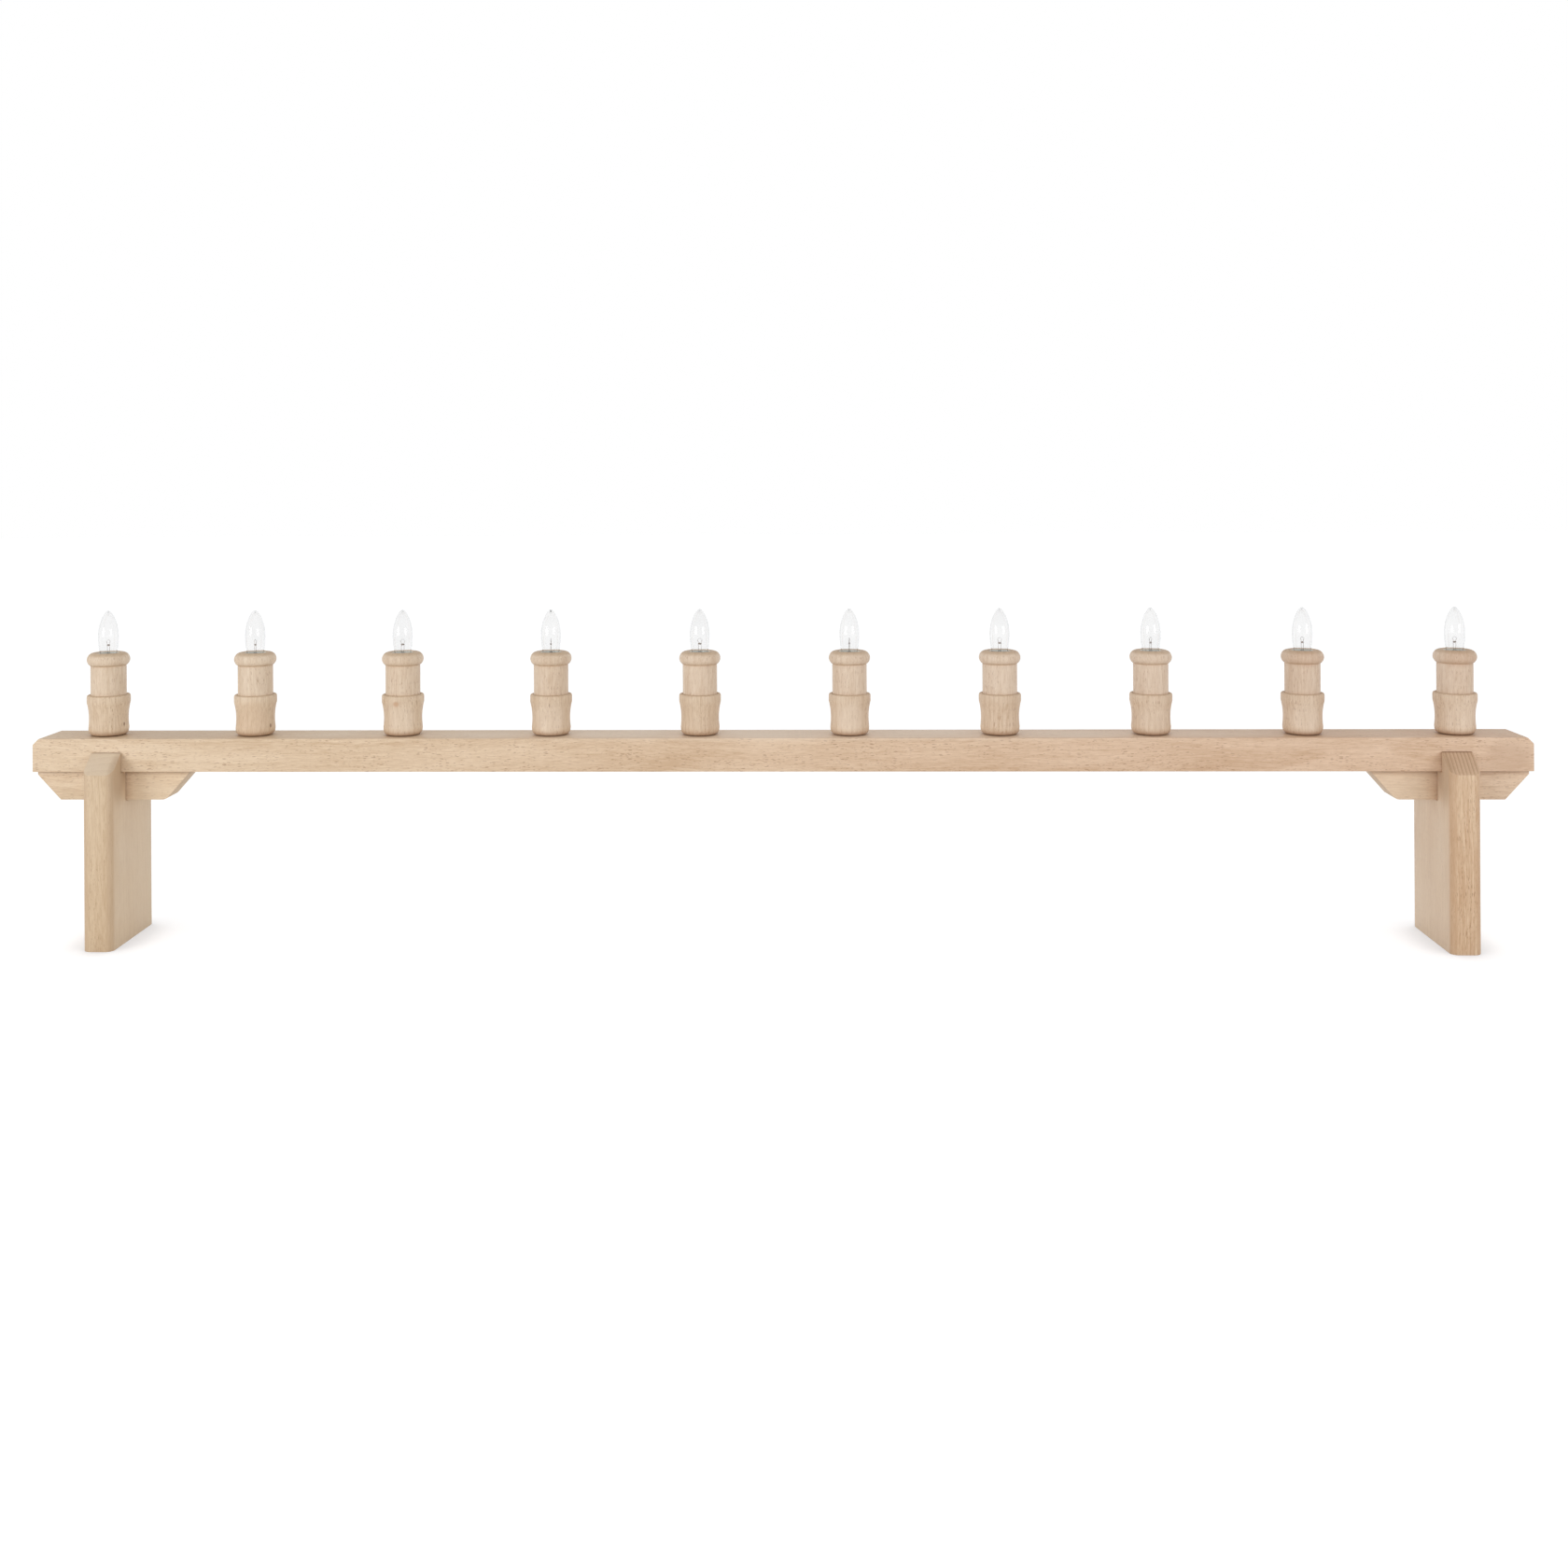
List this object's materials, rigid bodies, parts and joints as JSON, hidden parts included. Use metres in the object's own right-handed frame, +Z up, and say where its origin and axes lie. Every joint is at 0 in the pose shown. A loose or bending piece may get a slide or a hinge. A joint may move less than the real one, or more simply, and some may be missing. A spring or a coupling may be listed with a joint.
{
  "type": "wooden candle bar",
  "caption": "Long wooden bar on two forked legs with braces, carrying a row of turned wooden cups, in each of which stands a turned wooden holder with a small screw-in candle lamp.",
  "frame": {"origin": "on the floor, under the middle of the bar", "axes": "+X along the bar to the viewer's right, -Y towards the viewer, +Z up"},
  "size_m": [0.9884, 0.07, 0.2206],
  "materials": {
    "bar_wood": "pale unfinished beech, planed and sanded",
    "leg_wood": "pale unfinished beech, grain upright",
    "turned_wood": "pale turned beech, sanded",
    "clear_glass": "clear blown glass",
    "cap_metal": "nickel-plated screw cap",
    "tip_metal": "solder contact",
    "wire_plastic": "ivory moulded plastic of the lead and its sockets"
  },
  "bodies": {
    "stand": {"bar": "bar_wood", "groove_cover": "bar_wood", "wiring": "wire_plastic", "leg_left": "leg_wood", "leg_right": "leg_wood", "bracket_left": "bar_wood", "bracket_right": "bar_wood", "cup_01": "turned_wood", "cup_02": "turned_wood", "cup_03": "turned_wood", "cup_04": "turned_wood", "cup_05": "turned_wood", "cup_06": "turned_wood", "cup_07": "turned_wood", "cup_08": "turned_wood", "cup_09": "turned_wood", "cup_10": "turned_wood", "holder_01": "turned_wood", "holder_02": "turned_wood", "holder_03": "turned_wood", "holder_04": "turned_wood", "holder_05": "turned_wood", "holder_06": "turned_wood", "holder_07": "turned_wood", "holder_08": "turned_wood", "holder_09": "turned_wood", "holder_10": "turned_wood"},
    "lamp_01_travel": {"lamp_tip_01": "tip_metal"},
    "lamp_01": {"lamp_cap_01": "cap_metal", "lamp_glass_01": "clear_glass"},
    "lamp_02_travel": {"lamp_tip_02": "tip_metal"},
    "lamp_02": {"lamp_cap_02": "cap_metal", "lamp_glass_02": "clear_glass"},
    "lamp_03_travel": {"lamp_tip_03": "tip_metal"},
    "lamp_03": {"lamp_cap_03": "cap_metal", "lamp_glass_03": "clear_glass"},
    "lamp_04_travel": {"lamp_tip_04": "tip_metal"},
    "lamp_04": {"lamp_cap_04": "cap_metal", "lamp_glass_04": "clear_glass"},
    "lamp_05_travel": {"lamp_tip_05": "tip_metal"},
    "lamp_05": {"lamp_cap_05": "cap_metal", "lamp_glass_05": "clear_glass"},
    "lamp_06_travel": {"lamp_tip_06": "tip_metal"},
    "lamp_06": {"lamp_cap_06": "cap_metal", "lamp_glass_06": "clear_glass"},
    "lamp_07_travel": {"lamp_tip_07": "tip_metal"},
    "lamp_07": {"lamp_cap_07": "cap_metal", "lamp_glass_07": "clear_glass"},
    "lamp_08_travel": {"lamp_tip_08": "tip_metal"},
    "lamp_08": {"lamp_cap_08": "cap_metal", "lamp_glass_08": "clear_glass"},
    "lamp_09_travel": {"lamp_tip_09": "tip_metal"},
    "lamp_09": {"lamp_cap_09": "cap_metal", "lamp_glass_09": "clear_glass"},
    "lamp_10_travel": {"lamp_tip_10": "tip_metal"},
    "lamp_10": {"lamp_cap_10": "cap_metal", "lamp_glass_10": "clear_glass"}
  },
  "joints": [
    {"name": "lamp_01_rise", "type": "slide", "parent": "stand", "child": "lamp_01_travel", "axis": [0, 0, 1], "range_m": [0, 0.00726]},
    {"name": "lamp_01_turn", "type": "hinge", "parent": "lamp_01_travel", "child": "lamp_01", "pos_m": [-0.45, 0, 0.18], "axis": [0, 0, 1], "range_deg": [0, 1440]},
    {"name": "lamp_02_rise", "type": "slide", "parent": "stand", "child": "lamp_02_travel", "axis": [0, 0, 1], "range_m": [0, 0.00726]},
    {"name": "lamp_02_turn", "type": "hinge", "parent": "lamp_02_travel", "child": "lamp_02", "pos_m": [-0.35, 0, 0.18], "axis": [0, 0, 1], "range_deg": [0, 1440]},
    {"name": "lamp_03_rise", "type": "slide", "parent": "stand", "child": "lamp_03_travel", "axis": [0, 0, 1], "range_m": [0, 0.00726]},
    {"name": "lamp_03_turn", "type": "hinge", "parent": "lamp_03_travel", "child": "lamp_03", "pos_m": [-0.25, 0, 0.18], "axis": [0, 0, 1], "range_deg": [0, 1440]},
    {"name": "lamp_04_rise", "type": "slide", "parent": "stand", "child": "lamp_04_travel", "axis": [0, 0, 1], "range_m": [0, 0.00726]},
    {"name": "lamp_04_turn", "type": "hinge", "parent": "lamp_04_travel", "child": "lamp_04", "pos_m": [-0.15, 0, 0.18], "axis": [0, 0, 1], "range_deg": [0, 1440]},
    {"name": "lamp_05_rise", "type": "slide", "parent": "stand", "child": "lamp_05_travel", "axis": [0, 0, 1], "range_m": [0, 0.00726]},
    {"name": "lamp_05_turn", "type": "hinge", "parent": "lamp_05_travel", "child": "lamp_05", "pos_m": [-0.05, 0, 0.18], "axis": [0, 0, 1], "range_deg": [0, 1440]},
    {"name": "lamp_06_rise", "type": "slide", "parent": "stand", "child": "lamp_06_travel", "axis": [0, 0, 1], "range_m": [0, 0.00726]},
    {"name": "lamp_06_turn", "type": "hinge", "parent": "lamp_06_travel", "child": "lamp_06", "pos_m": [0.05, 0, 0.18], "axis": [0, 0, 1], "range_deg": [0, 1440]},
    {"name": "lamp_07_rise", "type": "slide", "parent": "stand", "child": "lamp_07_travel", "axis": [0, 0, 1], "range_m": [0, 0.00726]},
    {"name": "lamp_07_turn", "type": "hinge", "parent": "lamp_07_travel", "child": "lamp_07", "pos_m": [0.15, 0, 0.18], "axis": [0, 0, 1], "range_deg": [0, 1440]},
    {"name": "lamp_08_rise", "type": "slide", "parent": "stand", "child": "lamp_08_travel", "axis": [0, 0, 1], "range_m": [0, 0.00726]},
    {"name": "lamp_08_turn", "type": "hinge", "parent": "lamp_08_travel", "child": "lamp_08", "pos_m": [0.25, 0, 0.18], "axis": [0, 0, 1], "range_deg": [0, 1440]},
    {"name": "lamp_09_rise", "type": "slide", "parent": "stand", "child": "lamp_09_travel", "axis": [0, 0, 1], "range_m": [0, 0.00726]},
    {"name": "lamp_09_turn", "type": "hinge", "parent": "lamp_09_travel", "child": "lamp_09", "pos_m": [0.35, 0, 0.18], "axis": [0, 0, 1], "range_deg": [0, 1440]},
    {"name": "lamp_10_rise", "type": "slide", "parent": "stand", "child": "lamp_10_travel", "axis": [0, 0, 1], "range_m": [0, 0.00726]},
    {"name": "lamp_10_turn", "type": "hinge", "parent": "lamp_10_travel", "child": "lamp_10", "pos_m": [0.45, 0, 0.18], "axis": [0, 0, 1], "range_deg": [0, 1440]}
  ],
  "couplings": [
    {"joint": "lamp_01_rise", "follows": "lamp_01_turn", "m_per_rad": 0.0002887},
    {"joint": "lamp_02_rise", "follows": "lamp_02_turn", "m_per_rad": 0.0002887},
    {"joint": "lamp_03_rise", "follows": "lamp_03_turn", "m_per_rad": 0.0002887},
    {"joint": "lamp_04_rise", "follows": "lamp_04_turn", "m_per_rad": 0.0002887},
    {"joint": "lamp_05_rise", "follows": "lamp_05_turn", "m_per_rad": 0.0002887},
    {"joint": "lamp_06_rise", "follows": "lamp_06_turn", "m_per_rad": 0.0002887},
    {"joint": "lamp_07_rise", "follows": "lamp_07_turn", "m_per_rad": 0.0002887},
    {"joint": "lamp_08_rise", "follows": "lamp_08_turn", "m_per_rad": 0.0002887},
    {"joint": "lamp_09_rise", "follows": "lamp_09_turn", "m_per_rad": 0.0002887},
    {"joint": "lamp_10_rise", "follows": "lamp_10_turn", "m_per_rad": 0.0002887}
  ]
}
